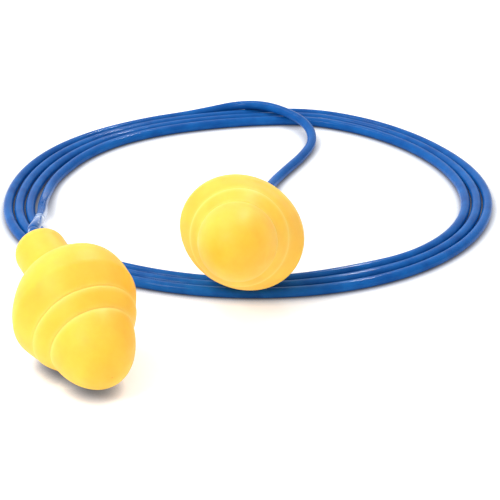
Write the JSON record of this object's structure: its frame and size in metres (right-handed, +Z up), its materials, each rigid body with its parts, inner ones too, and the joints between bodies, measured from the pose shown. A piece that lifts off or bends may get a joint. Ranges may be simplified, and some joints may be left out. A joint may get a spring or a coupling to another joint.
{
  "type": "corded ear plugs",
  "caption": "Pair of soft premoulded ear plugs with nested round flanges and a short stem each, joined by one long thin cord that lies coiled flat.",
  "frame": {"origin": "on the table top, under the middle of the box around the two plugs", "axes": "+X to the right, +Y to the back, +Z up from the table top"},
  "size_m": [0.0596, 0.0787, 0.0145],
  "materials": {
    "plug_elastomer": "satin",
    "cord_vinyl": "gloss",
    "clear_adhesive": "gloss"
  },
  "bodies": {
    "cord": {"cord_coil": "cord_vinyl", "left_cord_tail": "cord_vinyl", "right_cord_tail": "cord_vinyl"},
    "left_neck": {"left_cord_neck": "cord_vinyl"},
    "right_neck": {"right_cord_neck": "cord_vinyl"},
    "left_plug": {"left_plug": "plug_elastomer", "left_bond_bead": "clear_adhesive", "left_cord_end": "cord_vinyl"},
    "right_plug": {"right_plug": "plug_elastomer", "right_bond_bead": "clear_adhesive", "right_cord_end": "cord_vinyl"}
  },
  "joints": [
    {"name": "left_plug_swing", "type": "hinge", "parent": "cord", "child": "left_neck", "pos_m": [-0.01368, 0.0024, 0.00969], "axis": [0, 0, 1], "range_deg": [-40, 15]},
    {"name": "left_plug_lift", "type": "hinge", "parent": "left_neck", "child": "left_plug", "pos_m": [-0.01368, 0.0024, 0.00969], "axis": [-0.8988, -0.4384, 0], "range_deg": [0, 45]},
    {"name": "right_plug_swing", "type": "hinge", "parent": "cord", "child": "right_neck", "pos_m": [0.00961, 0.01805, 0.00491], "axis": [0, 0, 1], "range_deg": [-15, 40]},
    {"name": "right_plug_lift", "type": "hinge", "parent": "right_neck", "child": "right_plug", "pos_m": [0.00961, 0.01805, 0.00491], "axis": [-0.9965, 0.0837, 0], "range_deg": [0, 45]}
  ]
}
